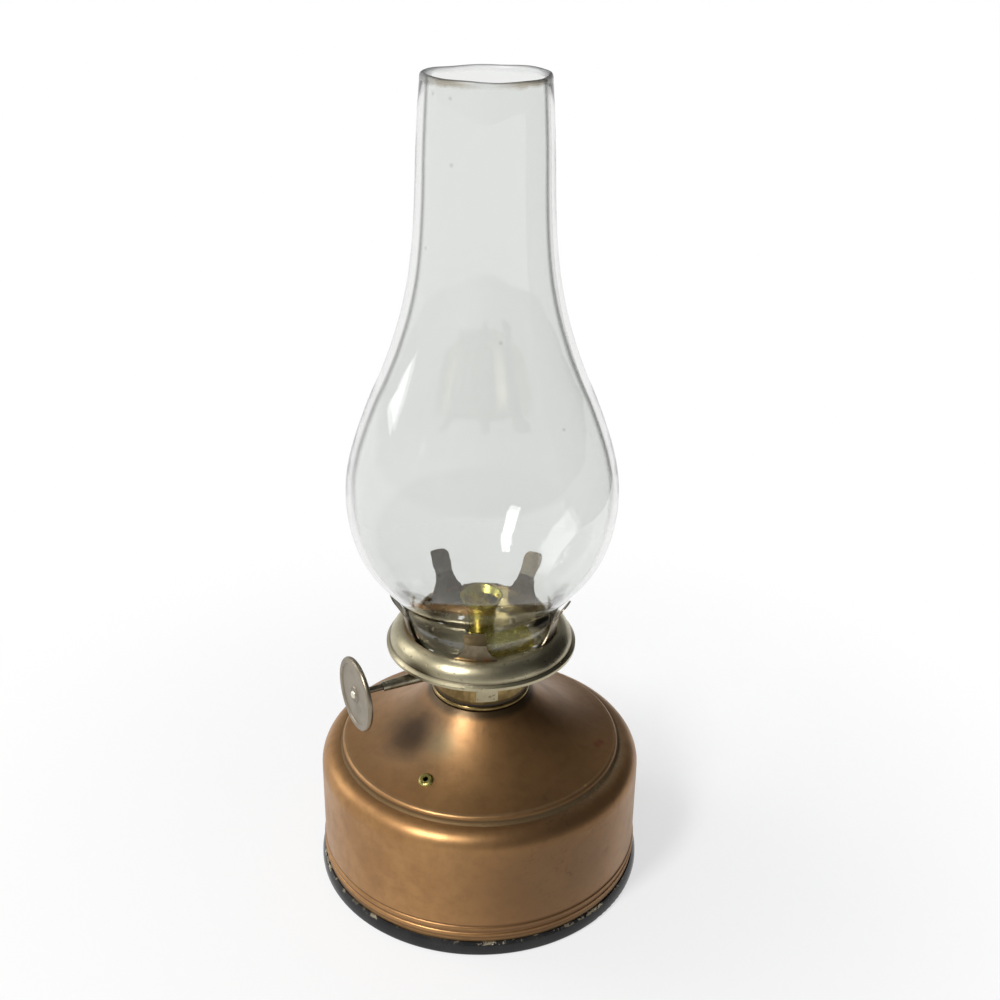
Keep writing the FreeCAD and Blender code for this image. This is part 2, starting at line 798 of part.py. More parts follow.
# Wick shaft: plain rod through both walls of the neck, peened over the knob
peen_radius = size.shaft_radius + size.peen_width
wick_shaft = turned("wick_shaft", [
    (ZERO, knob_outside - size.peen_height),
    (peen_radius, knob_outside, size.peen_curl),
    (size.shaft_radius, knob_outside),
    (size.shaft_radius, neck_reach + size.shaft_overhang),
    (ZERO, neck_reach + size.shaft_overhang),
])
place_on_shaft(wick_shaft)
finish(wick_shaft, "wick_shaft")

# Knob: plain disc with a rounded edge and a shallow dish round the peened end
knob_boss_radius = peen_radius + size.knob_boss_width
knob_dish_radius = size.knob_radius - size.knob_border
knob = turned("wick_knob", [
    (size.shaft_radius, knob_outside),
    (knob_boss_radius, knob_outside),
    (knob_boss_radius + size.knob_dish, knob_outside + size.knob_dish),
    (knob_dish_radius - size.knob_dish, knob_outside + size.knob_dish),
    (knob_dish_radius, knob_outside),
    (size.knob_radius - size.knob_edge_rise, knob_outside),
    (size.knob_radius - size.knob_edge_rise, knob_inside, size.knob_edge_rise),
    (size.shaft_radius, knob_inside),
])
place_on_shaft(knob)
finish(knob, "wick_knob")

# Feed wheel: pointed teeth that grip the wick through the window in the guide
wheel = turned("spur_wheel", [
    (size.shaft_radius, -(size.wheel_width / 2)),
    (size.wheel_radius - size.tooth_height, -(size.wheel_width / 2)),
    (size.wheel_radius - size.tooth_height, size.wheel_width / 2),
    (size.shaft_radius, size.wheel_width / 2),
])
tooth_root = size.wheel_radius - size.tooth_height - size.tooth_bite
tooth_half = tooth_root * math.pi / size.wheel_teeth * TOOTH_ROOT_SHARE
point_half = tooth_half * TOOTH_POINT_SHARE
tooth_sketch = new_sketch(wheel, "tooth_outline", "XY_Plane")
draw(tooth_sketch, [
    (tooth_root, -tooth_half),
    (size.wheel_radius, -point_half),
    (size.wheel_radius, point_half),
    (tooth_root, tooth_half),
])
tooth = wheel.newObject("PartDesign::Pad", "tooth")
tooth.Profile = tooth_sketch
tooth.Midplane = True
tooth.setExpression("Length", size.wheel_width.text)
doc.recompute()
teeth = wheel.newObject("PartDesign::PolarPattern", "teeth")
teeth.Originals = [tooth]
teeth.Axis = (tooth_sketch, ["N_Axis"])
teeth.Angle = 360
teeth.setExpression("Occurrences", size.wheel_teeth.text)
wheel.Tip = teeth
doc.recompute()
place_on_shaft(wheel)
finish(wheel, "spur_wheel")

# Wick: round cotton cord, cut off square at the top, its tail hanging close above the bottom plate
wick_top = tube_top - size.wick_top_drop
finish(turned("wick", [
    (ZERO, plate_top + size.wick_reserve),
    (size.wick_radius, plate_top + size.wick_reserve),
    (size.wick_radius, wick_top - size.wick_bevel),
    (size.wick_radius - size.wick_bevel, wick_top),
    (ZERO, wick_top),
]), "wick")

# Chimney: blown glass, drawn as one smooth curve through its outer radii and walled to one thickness
STATIONS = ("knee", "flare", "low", "bulge", "high", "fall", "throat", "stack")


def glass_wire(inset):
    """Curve from the foot to the top of the glass, moved in from the outer face."""
    seat = floor_top.number
    points = [FreeCAD.Vector(SIZES["glass_foot_radius"] - inset, 0, seat)]
    for station in STATIONS:
        radius = SIZES[f"glass_{station}_radius"] - inset
        points.append(FreeCAD.Vector(radius, 0, seat + SIZES[f"glass_{station}_height"]))
    points.append(FreeCAD.Vector(SIZES["glass_top_radius"] - inset, 0, seat + SIZES["glass_height"]))
    curve = Part.BSplineCurve()
    curve.interpolate(points)
    return curve.toShape(), points[0], points[-1]


outer, outer_foot, outer_top = glass_wire(0)
inner, inner_foot, inner_top = glass_wire(SIZES["glass_wall"])
section = Part.Face(Part.Wire(Part.__sortEdges__([
    outer, Part.makeLine(outer_top, inner_top), inner, Part.makeLine(inner_foot, outer_foot)])))
glass = section.revolve(FreeCAD.Vector(0, 0, 0), FreeCAD.Vector(0, 0, 1), 360)
rim_edges = [edge for edge in glass.Edges if isinstance(edge.Curve, Part.Circle)
             and abs(edge.Curve.Center.z - outer_top.z) < glass.getTolerance(1)]
glass = glass.makeFillet(SIZES["glass_rim_round"], rim_edges)
chimney = doc.addObject("Part::Feature", "chimney")
chimney.Shape = glass
finish(chimney, "chimney")

doc.recompute()
failed = [item.Name for item in doc.Objects if {"Invalid", "Error"} & set(item.State)]
if failed:
    raise RuntimeError(f"failed objects: {failed}")
for item in nodes:
    if item.Shape.isNull() or not item.Shape.isValid() or not item.Shape.Solids:
        raise RuntimeError(f"bad shape: {item.Label}")
for item in nodes:
    item.Shape.exportStep(f"parts/{item.Label}.step")
    box = item.Shape.BoundBox
    print(f"{item.Label}: {len(item.Shape.Solids)} solid, {item.Shape.Volume:.2f} mm3, "
          f"z {box.ZMin:.2f} to {box.ZMax:.2f}, x {box.XMin:.2f} to {box.XMax:.2f}")
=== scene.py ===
import math

import bmesh
import bpy
from mathutils import Matrix, Vector


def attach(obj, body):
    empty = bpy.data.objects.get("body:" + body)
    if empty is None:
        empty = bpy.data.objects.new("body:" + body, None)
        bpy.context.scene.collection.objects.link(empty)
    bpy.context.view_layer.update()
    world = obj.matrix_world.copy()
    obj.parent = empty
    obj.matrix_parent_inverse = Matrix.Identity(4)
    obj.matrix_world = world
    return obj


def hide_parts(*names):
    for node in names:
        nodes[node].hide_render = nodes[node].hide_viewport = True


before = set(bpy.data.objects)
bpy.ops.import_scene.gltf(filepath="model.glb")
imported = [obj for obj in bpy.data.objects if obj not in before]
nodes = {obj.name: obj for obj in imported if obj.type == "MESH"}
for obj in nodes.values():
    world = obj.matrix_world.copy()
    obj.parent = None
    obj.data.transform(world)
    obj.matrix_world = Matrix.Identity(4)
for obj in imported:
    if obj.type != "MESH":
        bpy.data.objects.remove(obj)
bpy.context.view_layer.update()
MM = 0.001


# Bottom plate: a tin disc with a rolled rim, japanned black. The font's wall is seamed into the rim, and the
# lamp stands on the flat of the rim. The gloss is dulled by handling and chipped along the seam.
def put(tree, kind, inputs=(), **settings):
    """Node with its settings made, and with a number or a link for each named input."""
    node = tree.nodes.new(kind)
    for key, value in settings.items():
        setattr(node, key, value)
    for key, value in dict(inputs).items():
        if isinstance(value, bpy.types.NodeSocket):
            tree.links.new(value, node.inputs[key])
        else:
            node.inputs[key].default_value = value
    return node


def here(tree):
    """Place on the piece, in metres from the lamp's foot."""
    return put(tree, "ShaderNodeTexCoord").outputs["Object"]


def along(tree, axis, vector):
    return put(tree, "ShaderNodeSeparateXYZ", {0: vector}).outputs[axis]


def reckon(tree, operation, first, second=0.0, clamp=False):
    return put(tree, "ShaderNodeMath", {0: first, 1: second}, operation=operation, use_clamp=clamp).outputs[0]


def moved(tree, operation, first, second):
    """Vector reckoned from two vectors."""
    return put(tree, "ShaderNodeVectorMath", {0: first, 1: second}, operation=operation).outputs[0]


def measured(tree, operation, first, second=(0, 0, 0)):
    """Number reckoned from one vector or two."""
    return put(tree, "ShaderNodeVectorMath", {0: first, 1: second}, operation=operation).outputs["Value"]


def fade(tree, value, low, high):
    """Smooth mask that is 0 at low and 1 at high."""
    return put(tree, "ShaderNodeMapRange", {"Value": value, "From Min": low, "From Max": high},
               interpolation_type="SMOOTHSTEP").outputs["Result"]


def spread(tree, value, low, high):
    """Mask stretched to run from low to high."""
    return put(tree, "ShaderNodeMapRange", {"Value": value, "To Min": low, "To Max": high}).outputs["Result"]


def tinted(tree, mask, under, over):
    """Colour that goes from under to over where the mask is 1."""
    return put(tree, "ShaderNodeMix", {0: mask, 6: under, 7: over}, data_type="RGBA").outputs[2]


def stained(tree, mask, strength, under, over):
    """Colour that goes part of the way from under to over where the mask is 1."""
    return tinted(tree, reckon(tree, "MULTIPLY", mask, strength), under, over)


def new_group(name, inputs, output):
    """Shader group with named numbers in and one mask out."""
    tree = bpy.data.node_groups.new(name, "ShaderNodeTree")
    for label, kind, value in inputs:
        socket = tree.interface.new_socket(label, in_out="INPUT", socket_type=f"NodeSocket{kind}")
        socket.default_value = value
    tree.interface.new_socket(output, in_out="OUTPUT", socket_type="NodeSocketFloat")
    entry = tree.nodes.new("NodeGroupInput")
    exit_node = tree.nodes.new("NodeGroupOutput")
    return tree, entry.outputs, exit_node.inputs[output]


def masked(tree, group, **values):
    """Mask of a shader group placed in a material."""
    return put(tree, "ShaderNodeGroup", values, node_tree=group).outputs[0]


def noise(tree, vector, scale, detail, roughness):
    return put(tree, "ShaderNodeTexNoise", {"Vector": vector, "Scale": scale, "Detail": detail,
                                            "Roughness": roughness}).outputs["Fac"]


def strayed(tree, away, place, scale, detail, roughness, ragged):
    """Distance made uneven by noise, for a ragged edge."""
    stray = reckon(tree, "SUBTRACT", noise(tree, place, scale, detail, roughness), 0.5)
    return reckon(tree, "ADD", away, reckon(tree, "MULTIPLY", stray, ragged))


# Uneven patches, as tarnish and handling leave them
patches, given, patch_mask = new_group("uneven_patches", [
    ("Scale", "Float", 100.0), ("Low", "Float", 0.45), ("High", "Float", 0.65)], "Mask")
cloud = noise(patches, here(patches), given["Scale"], 6.0, 0.62)
patches.links.new(fade(patches, cloud, given["Low"], given["High"]), patch_mask)

# A ring round the lamp's axis, marked within its reach with a ragged edge, for wear, dirt, painted shade and
# a painted highlight
ring_band, given, band_mask = new_group("ring_band", [
    ("Radius", "Float", 0.03), ("Height", "Float", 0.03), ("Reach", "Float", 0.001),
    ("Ragged", "Float", 0.0)], "Mask")
place = here(ring_band)
from_axis = measured(ring_band, "LENGTH", moved(ring_band, "MULTIPLY", place, (1, 1, 0)))
out = reckon(ring_band, "SUBTRACT", from_axis, given["Radius"])
up = reckon(ring_band, "SUBTRACT", along(ring_band, "Z", place), given["Height"])
away = reckon(ring_band, "SQRT", reckon(ring_band, "ADD", reckon(ring_band, "MULTIPLY", out, out),
                                        reckon(ring_band, "MULTIPLY", up, up)))
away = strayed(ring_band, away, place, 420.0, 4.0, 0.6, given["Ragged"])
full_reach = reckon(ring_band, "MULTIPLY", given["Reach"], 0.35)
ring_band.links.new(fade(ring_band, away, given["Reach"], full_reach), band_mask)


def patchy(tree, scale, low, high):
    return masked(tree, patches, Scale=scale, Low=low, High=high)


def ring_mask(tree, ring, reach, ragged):
    """Mask round a ring of some radius and height, all in millimetres."""
    radius, height = ring
    return masked(tree, ring_band, Radius=radius * MM, Height=height * MM, Reach=reach * MM,
                  Ragged=ragged * MM)


def new_finish(name, metallic):
    """Material with its tree and its surface shader."""
    material = bpy.data.materials.new(name)
    material.use_nodes = True
    shader = material.node_tree.nodes["Principled BSDF"]
    shader.inputs["Metallic"].default_value = metallic
    return material, material.node_tree, shader


def give(tree, shader, colour, roughness, height=None, depth=0.0):
    """Link a finish's colour and roughness, and a bump of some depth in millimetres."""
    tree.links.new(colour, shader.inputs["Base Color"])
    tree.links.new(roughness, shader.inputs["Roughness"])
    if height:
        bump = put(tree, "ShaderNodeBump", {"Height": height, "Distance": depth * MM})
        tree.links.new(bump.outputs[0], shader.inputs["Normal"])


def dress(material, *names):
    """Put a finish on pieces that keep their solid shape."""
    for name in names:
        nodes[name].material_slots[0].material = material


RIM_RADIUS = 35.0
WALL_RADIUS = 34.1
RIM_TOP = 3.1
SEAM_RING = (WALL_RADIUS + 0.35, RIM_TOP - 0.1)
FOOT_RING = (RIM_RADIUS - 0.3, 0.25)
JAPAN_DEEP = (0.006, 0.006, 0.007, 1)
JAPAN_DULL = (0.018, 0.017, 0.016, 1)
BARE_TIN = (0.55, 0.47, 0.33, 1)

black_japan, tree, shader = new_finish("black_japan", 0.0)
dulled = patchy(tree, 160.0, 0.35, 0.7)
edges = reckon(tree, "MAXIMUM", ring_mask(tree, SEAM_RING, 0.55, 0.9), ring_mask(tree, FOOT_RING, 0.5, 1.2))
flaked = reckon(tree, "MULTIPLY", patchy(tree, 520.0, 0.53, 0.6), patchy(tree, 60.0, 0.4, 0.62))
chips = reckon(tree, "MULTIPLY", edges, flaked)
lacquer = tinted(tree, chips, tinted(tree, dulled, JAPAN_DEEP, JAPAN_DULL), BARE_TIN)
give(tree, shader, lacquer, spread(tree, dulled, 0.16, 0.34), chips, -0.05)
tree.links.new(chips, shader.inputs["Metallic"])
shader.inputs["Specular IOR Level"].default_value = 0.38
dress(black_japan, "base_plate")


# Font shell: one drawn sheet with two beads above the rim, a round shoulder, a step and a hollow-sided dome.
# It is finished in satin copper-bronze lacquer, sooted beside the burner and darker along its step. It has
# painted shade on the right of its wall and dome and in its bead grooves, and a painted highlight on the
# dome's edge.
STEP_RING = (29.7, 29.4)
DOME_EDGE_HIGHLIGHT_RING = (28.95, 30.75)
DUST_RING = (30.6, 29.2)
RIM_RING = (WALL_RADIUS, RIM_TOP)
NECK_RING = (9.9, 42.2)
BEAD_GROOVES = (4.05, 5.58, 7.1)
SHADED_WALL_SIDE = (16.0, -30.0, 17.0)
SHADED_DOME_SIDE = (14.0, 4.0, 39.0)
SCUFFED_WALL = (19.2, -28.2, 18.5)
DUSTY_SIDE = (30.0, -8.0, 29.0)
SOOT_PLACE = (-13.6, -9.6, 36.7)
GREEN_SMEAR = (-8.3, -13.9, 36.9)
RED_SPOTS = ((24.8, -6.3, 31.9), (25.6, -5.0, 31.5))

# A soft mark round one point of the surface
smudge, given, smudge_mask = new_group("smudge", [
    ("Centre", "Vector", (0, 0, 0)), ("Reach", "Float", 0.01), ("Ragged", "Float", 0.0)], "Mask")
place = here(smudge)
away = measured(smudge, "DISTANCE", place, given["Centre"])
away = strayed(smudge, away, place, 150.0, 5.0, 0.65, given["Ragged"])
full_reach = reckon(smudge, "MULTIPLY", given["Reach"], 0.1)
smudge.links.new(fade(smudge, away, given["Reach"], full_reach), smudge_mask)

# Fine scratches: thin lines where a stretched noise passes its middle
hairlines, given, line_mask = new_group("hairlines", [
    ("Run", "Vector", (200, 200, 30)), ("Turn", "Vector", (0, 0, 0)), ("Width", "Float", 0.01)], "Mask")
place = here(hairlines)
drawn = put(hairlines, "ShaderNodeMapping", {"Vector": place, "Rotation": given["Turn"],
                                             "Scale": given["Run"]}).outputs[0]
middle = reckon(hairlines, "SUBTRACT", noise(hairlines, drawn, 1.0, 2.0, 0.5), 0.5)
thin = fade(hairlines, reckon(hairlines, "ABSOLUTE", middle), given["Width"], 0.0)
broken = fade(hairlines, noise(hairlines, place, 260.0, 3.0, 0.6), 0.48, 0.62)
hairlines.links.new(reckon(hairlines, "MULTIPLY", thin, broken), line_mask)


def point(x, y, z):
    return (x * MM, y * MM, z * MM)


def spot_mask(tree, centre, reach, ragged=0.0):
    """Mask round one point, all in millimetres."""
    return masked(tree, smudge, Centre=point(*centre), Reach=reach * MM, Ragged=ragged * MM)


def scratched(tree, run, width, turn=(0, 0, 0)):
    return masked(tree, hairlines, Run=run, Turn=turn, Width=width)


copper_lacquer, tree, shader = new_finish("copper_lacquer", 0.85)
warm = patchy(tree, 75.0, 0.38, 0.66)
mottle = patchy(tree, 420.0, 0.4, 0.7)
copper = tinted(tree, warm, (0.425, 0.230, 0.090, 1), (0.355, 0.185, 0.072, 1))
copper = stained(tree, mottle, 0.3, copper, (0.230, 0.122, 0.054, 1))
# Painted shade over the right-front of the wall, where the light falls off.
copper = stained(tree, spot_mask(tree, SHADED_WALL_SIDE, 31.0, 12.0), 0.8, copper, (0.118, 0.066, 0.032, 1))
# Painted shade on the dome right of the neck, where the ring and neck darken it.
copper = stained(tree, spot_mask(tree, SHADED_DOME_SIDE, 34.0, 10.0), 0.3, copper, (0.115, 0.064, 0.031, 1))
scratches = reckon(tree, "MAXIMUM", scratched(tree, (90, 90, 420), 0.018),
                   scratched(tree, (260, 260, 90), 0.012, (0.5, 0.3, 0.4)))
scratches = reckon(tree, "MAXIMUM", scratches, patchy(tree, 950.0, 0.62, 0.7))
scuffed = reckon(tree, "MULTIPLY", spot_mask(tree, SCUFFED_WALL, 20.0, 8.0), 0.45)
scuffs = reckon(tree, "MULTIPLY", scratches, reckon(tree, "ADD", scuffed, 0.06))
copper = tinted(tree, scuffs, copper, (0.085, 0.047, 0.025, 1))
# Painted highlight along the dome's rounded edge.
copper = stained(tree, ring_mask(tree, DOME_EDGE_HIGHLIGHT_RING, 0.45, 0.5), 0.4, copper, (0.420, 0.270, 0.140, 1))
# The step's channel is painted darker.
step_darkening = ring_mask(tree, STEP_RING, 1.0, 0.6)
copper = stained(tree, step_darkening, 0.7, copper, (0.110, 0.085, 0.045, 1))
dusty = reckon(tree, "MULTIPLY", ring_mask(tree, DUST_RING, 1.5, 1.6), spot_mask(tree, DUSTY_SIDE, 30.0, 6.0))
grainy = reckon(tree, "ADD", reckon(tree, "MULTIPLY", patchy(tree, 1400.0, 0.56, 0.66), 0.55), 0.2)
dust = reckon(tree, "MULTIPLY", dusty, grainy, clamp=True)
copper = tinted(tree, dust, copper, (0.330, 0.300, 0.210, 1))
# Painted shade in the grooves between the beads.
for groove in BEAD_GROOVES:
    shade = ring_mask(tree, (WALL_RADIUS + 0.05, groove), 0.34, 0.15)
    copper = stained(tree, shade, 0.6, copper, (0.120, 0.060, 0.028, 1))
copper = stained(tree, ring_mask(tree, RIM_RING, 0.9, 0.9), 0.6, copper, (0.090, 0.062, 0.030, 1))
copper = stained(tree, ring_mask(tree, NECK_RING, 2.6, 1.6), 0.8, copper, (0.060, 0.045, 0.025, 1))
copper = stained(tree, spot_mask(tree, SOOT_PLACE, 19.0, 10.0), 0.45, copper, (0.130, 0.098, 0.066, 1))
copper = stained(tree, spot_mask(tree, GREEN_SMEAR, 5.5, 4.0), 0.4, copper, (0.220, 0.200, 0.110, 1))
soot = spot_mask(tree, SOOT_PLACE, 10.5, 6.0)
copper = stained(tree, soot, 0.62, copper, (0.034, 0.033, 0.031, 1))
for red_spot in RED_SPOTS:
    copper = stained(tree, spot_mask(tree, red_spot, 1.3, 1.0), 0.55, copper, (0.260, 0.065, 0.035, 1))
dull = reckon(tree, "ADD", reckon(tree, "MULTIPLY", warm, 0.06),
              reckon(tree, "MULTIPLY", reckon(tree, "MAXIMUM", soot, step_darkening), 0.25))
give(tree, shader, copper, reckon(tree, "ADD", dull, 0.38), reckon(tree, "SUBTRACT", mottle, scuffs), 0.012)
dress(copper_lacquer, "font_shell")


# Vent eyelet: a small brass eyelet pressed through the dome, bright on its crown, with painted shade in its
# bore.
# It lets air into the font as the oil burns down.
VENT_PLACE = (-10.53, -20.67, 32.4)

vent_brass, tree, shader = new_finish("vent_brass", 1.0)
stain = patchy(tree, 700.0, 0.4, 0.7)
brass = stained(tree, stain, 0.5, (0.500, 0.430, 0.135, 1), (0.230, 0.180, 0.060, 1))
# Painted shade in and round the eyelet's bore.
brass = stained(tree, spot_mask(tree, VENT_PLACE, 1.25, 0.4), 0.75, brass, (0.070, 0.064, 0.022, 1))
give(tree, shader, brass, spread(tree, stain, 0.2, 0.4))
dress(vent_brass, "vent_eyelet")


# Collar, washer and burner neck: spun brass, the collar soldered into the dome and the neck screwed into it,
# with a thin oiled leather washer between. The brass is tarnished golden brown, with painted shade in its
# corners at the neck's foot and under the gallery floor.
NECK_RADIUS = 10.0
NECK_FOOT_RING = (NECK_RADIUS, 44.0)
UNDER_FLOOR_RING = (NECK_RADIUS, 52.6)

neck_brass, tree, shader = new_finish("tarnished_brass", 1.0)
tarnish = patchy(tree, 190.0, 0.36, 0.64)
brass = tinted(tree, tarnish, (0.360, 0.262, 0.112, 1), (0.200, 0.138, 0.056, 1))
brass = stained(tree, scratched(tree, (500, 500, 40), 0.08), 0.4, brass, (0.120, 0.085, 0.035, 1))
# Painted shade at the neck's foot and under the gallery floor.
corners = reckon(tree, "MAXIMUM", ring_mask(tree, NECK_FOOT_RING, 0.7, 0.4),
                 ring_mask(tree, UNDER_FLOOR_RING, 4.6, 1.5))
brass = stained(tree, corners, 0.75, brass, (0.060, 0.044, 0.020, 1))
give(tree, shader, brass, spread(tree, tarnish, 0.26, 0.42), tarnish, 0.015)
dress(neck_brass, "collar", "burner_cup")

washer_leather, tree, shader = new_finish("washer_leather", 0.0)
fibres = patchy(tree, 1500.0, 0.35, 0.7)
leather = tinted(tree, fibres, (0.022, 0.016, 0.011, 1), (0.050, 0.034, 0.020, 1))
give(tree, shader, leather, spread(tree, fibres, 0.5, 0.75), fibres, 0.03)
dress(washer_leather, "burner_seal")


# Gallery: a nickel-plated crown and floor that carry the glass, held to the neck by three strips. The plate
# is warm and dull, rubbed bright on its crown, brown where it has worn through, with painted shade in the
# brim's crease.
CROWN_RING = (15.91, 58.1)
CREASE_RING = (18.95, 54.75)
LEGS = 3

nickel, tree, shader = new_finish("dull_nickel", 1.0)
cloudy = patchy(tree, 130.0, 0.35, 0.68)
pits = patchy(tree, 900.0, 0.6, 0.68)
rubbed = scratched(tree, (60, 60, 900), 0.06)
plate = tinted(tree, cloudy, (0.455, 0.408, 0.275, 1), (0.350, 0.305, 0.195, 1))
plate = stained(tree, rubbed, 0.2, plate, (0.520, 0.490, 0.400, 1))
plate = stained(tree, pits, 0.55, plate, (0.150, 0.110, 0.070, 1))
plate = stained(tree, ring_mask(tree, CROWN_RING, 0.8, 1.3), 0.45, plate, (0.330, 0.235, 0.115, 1))
# Painted shade in the brim's crease.
plate = stained(tree, ring_mask(tree, CREASE_RING, 0.45, 0.25), 0.6, plate, (0.130, 0.105, 0.070, 1))
dull = reckon(tree, "ADD", spread(tree, cloudy, 0.27, 0.38), reckon(tree, "MULTIPLY", pits, 0.15))
give(tree, shader, plate, dull, reckon(tree, "SUBTRACT", rubbed, pits), 0.01)
dress(nickel, "gallery_ring", "gallery_floor", *(f"gallery_leg_{number + 1}" for number in range(LEGS)))


# Prongs: five thin spring leaves, cut wide at the foot and narrow at the head, soldered inside the crown.
# Heat has browned their plating, with reddish spots where it has worn through at the foot.
PRONG_FOOT_RING = (15.6, 57.8)
PRONGS = 5

browned_nickel, tree, shader = new_finish("browned_nickel", 1.0)
burnt = patchy(tree, 240.0, 0.36, 0.66)
leaf = tinted(tree, burnt, (0.270, 0.228, 0.160, 1), (0.165, 0.130, 0.085, 1))
rust = reckon(tree, "MULTIPLY", patchy(tree, 800.0, 0.56, 0.64), ring_mask(tree, PRONG_FOOT_RING, 1.6, 1.0))
leaf = tinted(tree, rust, leaf, (0.300, 0.110, 0.050, 1))
give(tree, shader, leaf, spread(tree, burnt, 0.3, 0.46), burnt, 0.012)
dress(browned_nickel, *(f"prong_{number + 1}" for number in range(PRONGS)))


# Wick tube, guide and wheel cover: thin bright brass, gone greenish. The tube is spun to a flared cup with a
# rolled lip, with painted shade inside it, and pushed over the guide. The cover is a folded channel on the
# gallery floor.
CUP_RING = (1.8, 62.8)

tube_brass, tree, shader = new_finish("greenish_brass", 1.0)
verdigris = patchy(tree, 300.0, 0.4, 0.68)
turning = scratched(tree, (40, 40, 1600), 0.07)
brass = tinted(tree, verdigris, (0.600, 0.500, 0.125, 1), (0.360, 0.345, 0.090, 1))
brass = stained(tree, turning, 0.35, brass, (0.300, 0.230, 0.080, 1))
# Painted shade inside the cup.
brass = stained(tree, ring_mask(tree, CUP_RING, 1.9, 0.8), 0.85, brass, (0.110, 0.100, 0.030, 1))
give(tree, shader, brass, spread(tree, verdigris, 0.2, 0.34), turning, 0.008)
dress(tube_brass, "wick_tube", "wick_guide", "wheel_cover", "spur_wheel")


# Wick raiser: a rod through the neck with a toothed feed wheel inside and a flat disc knob peened on outside,
# running in a tapered nickel sleeve. The knob is satin grey-brown from handling, with fine turning rings, a
# painted shadow ring round the rod, and painted shade on the rod behind the knob.
SHAFT_TURN = math.radians(28.4)
SHAFT_FOOT = (1.8549, -3.4306, 51.3)
KNOB_FRONT = -30.2
KNOB_BACK = -29.6

satin_steel, tree, shader = new_finish("satin_steel", 1.0)
centred = moved(tree, "SUBTRACT", here(tree), point(*SHAFT_FOOT))
turned_in = put(tree, "ShaderNodeVectorRotate", {"Vector": centred, "Angle": -SHAFT_TURN},
                rotation_type="Z_AXIS").outputs[0]
from_shaft = measured(tree, "LENGTH", moved(tree, "MULTIPLY", turned_in, (0, 1, 1)))
rings = put(tree, "ShaderNodeTexNoise", {"W": from_shaft, "Scale": 5200.0, "Detail": 2.0},
            noise_dimensions="1D").outputs["Fac"]
handled = patchy(tree, 150.0, 0.36, 0.66)
freckles = patchy(tree, 1200.0, 0.62, 0.7)
steel = tinted(tree, handled, (0.310, 0.266, 0.200, 1), (0.230, 0.192, 0.142, 1))
steel = stained(tree, freckles, 0.6, steel, (0.110, 0.085, 0.060, 1))
shadow_ring = reckon(tree, "MULTIPLY", fade(tree, from_shaft, 0.85 * MM, 1.05 * MM),
                     fade(tree, from_shaft, 1.75 * MM, 1.3 * MM))
steel = stained(tree, shadow_ring, 0.55, steel, (0.120, 0.100, 0.075, 1))
peened = fade(tree, from_shaft, 1.0 * MM, 0.7 * MM)
far_out = along(tree, "X", turned_in)
rod_end = reckon(tree, "MULTIPLY", peened, fade(tree, far_out, KNOB_FRONT * MM, (KNOB_FRONT - 0.2) * MM))
steel = tinted(tree, rod_end, steel, (0.780, 0.730, 0.600, 1))
# Painted shade on the rod between the knob and the sleeve.
rod = reckon(tree, "MULTIPLY", peened, fade(tree, far_out, KNOB_BACK * MM, (KNOB_BACK + 0.6) * MM))
steel = stained(tree, rod, 0.6, steel, (0.120, 0.105, 0.070, 1))
satin = reckon(tree, "ADD", spread(tree, rings, 0.3, 0.46), reckon(tree, "MULTIPLY", freckles, 0.1))
give(tree, shader, steel, satin, rings, 0.006)
dress(satin_steel, "wick_shaft", "wick_knob")

sleeve_nickel, tree, shader = new_finish("streaked_nickel", 1.0)
streaks = scratched(tree, (70, 900, 900), 0.1, (0, 0, -SHAFT_TURN))
grey = patchy(tree, 260.0, 0.36, 0.66)
plate = tinted(tree, grey, (0.340, 0.310, 0.228, 1), (0.235, 0.202, 0.138, 1))
plate = stained(tree, streaks, 0.6, plate, (0.130, 0.110, 0.070, 1))
give(tree, shader, plate, spread(tree, grey, 0.26, 0.4), streaks, 0.01)
dress(sleeve_nickel, "shaft_sleeve")


# Wick: a round cotton cord of twisted strands round a core, frayed where it was cut. It stands low in the
# tube and hangs down into the oil.
WICK_FOOT = 6.5
WICK_TOP = 60.4
WICK_RADIUS = 1.75
WICK_LENGTH = WICK_TOP - WICK_FOOT
WICK_TIP_RING = (0.0, WICK_TOP + 0.3)
STRANDS = 9
STRAND_RADIUS = 0.46
TWIST_PITCH = 17.0
STEPS_PER_TURN = 28
CORE_RADIUS = 1.1
FRAYS = 60
FRAY_SWING = 2.39996


def new_object(name, work, material):
    """Object in the scene from a worked mesh."""
    mesh = bpy.data.meshes.new(name)
    work.to_mesh(mesh)
    work.free()
    mesh.materials.append(material)
    holder = bpy.data.objects.new(name, mesh)
    bpy.context.scene.collection.objects.link(holder)
    return holder


def finished_piece(name, work, material, body, slot, *stood_for):
    """Object shaded smooth up to its edges and riding on its body."""
    for face in work.faces:
        face.smooth = True
    piece = new_object(name, work, material)
    piece.data.set_sharp_from_angle(angle=math.radians(40))
    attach(piece, body)
    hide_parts(*stood_for)
    return piece


cotton, tree, shader = new_finish("cotton_yarn", 0.0)
yarn = scratched(tree, (1500, 1500, 260), 0.12, (0.2, 0.25, 0))
thread = tinted(tree, patchy(tree, 220.0, 0.4, 0.7), (0.760, 0.700, 0.560, 1), (0.600, 0.520, 0.370, 1))
thread = stained(tree, yarn, 0.5, thread, (0.420, 0.350, 0.240, 1))
thread = stained(tree, ring_mask(tree, WICK_TIP_RING, 2.2, 1.2), 0.75, thread, (0.055, 0.040, 0.028, 1))
give(tree, shader, thread, spread(tree, yarn, 0.8, 0.95), yarn, 0.05)
shader.inputs["Sheen Weight"].default_value = 0.3

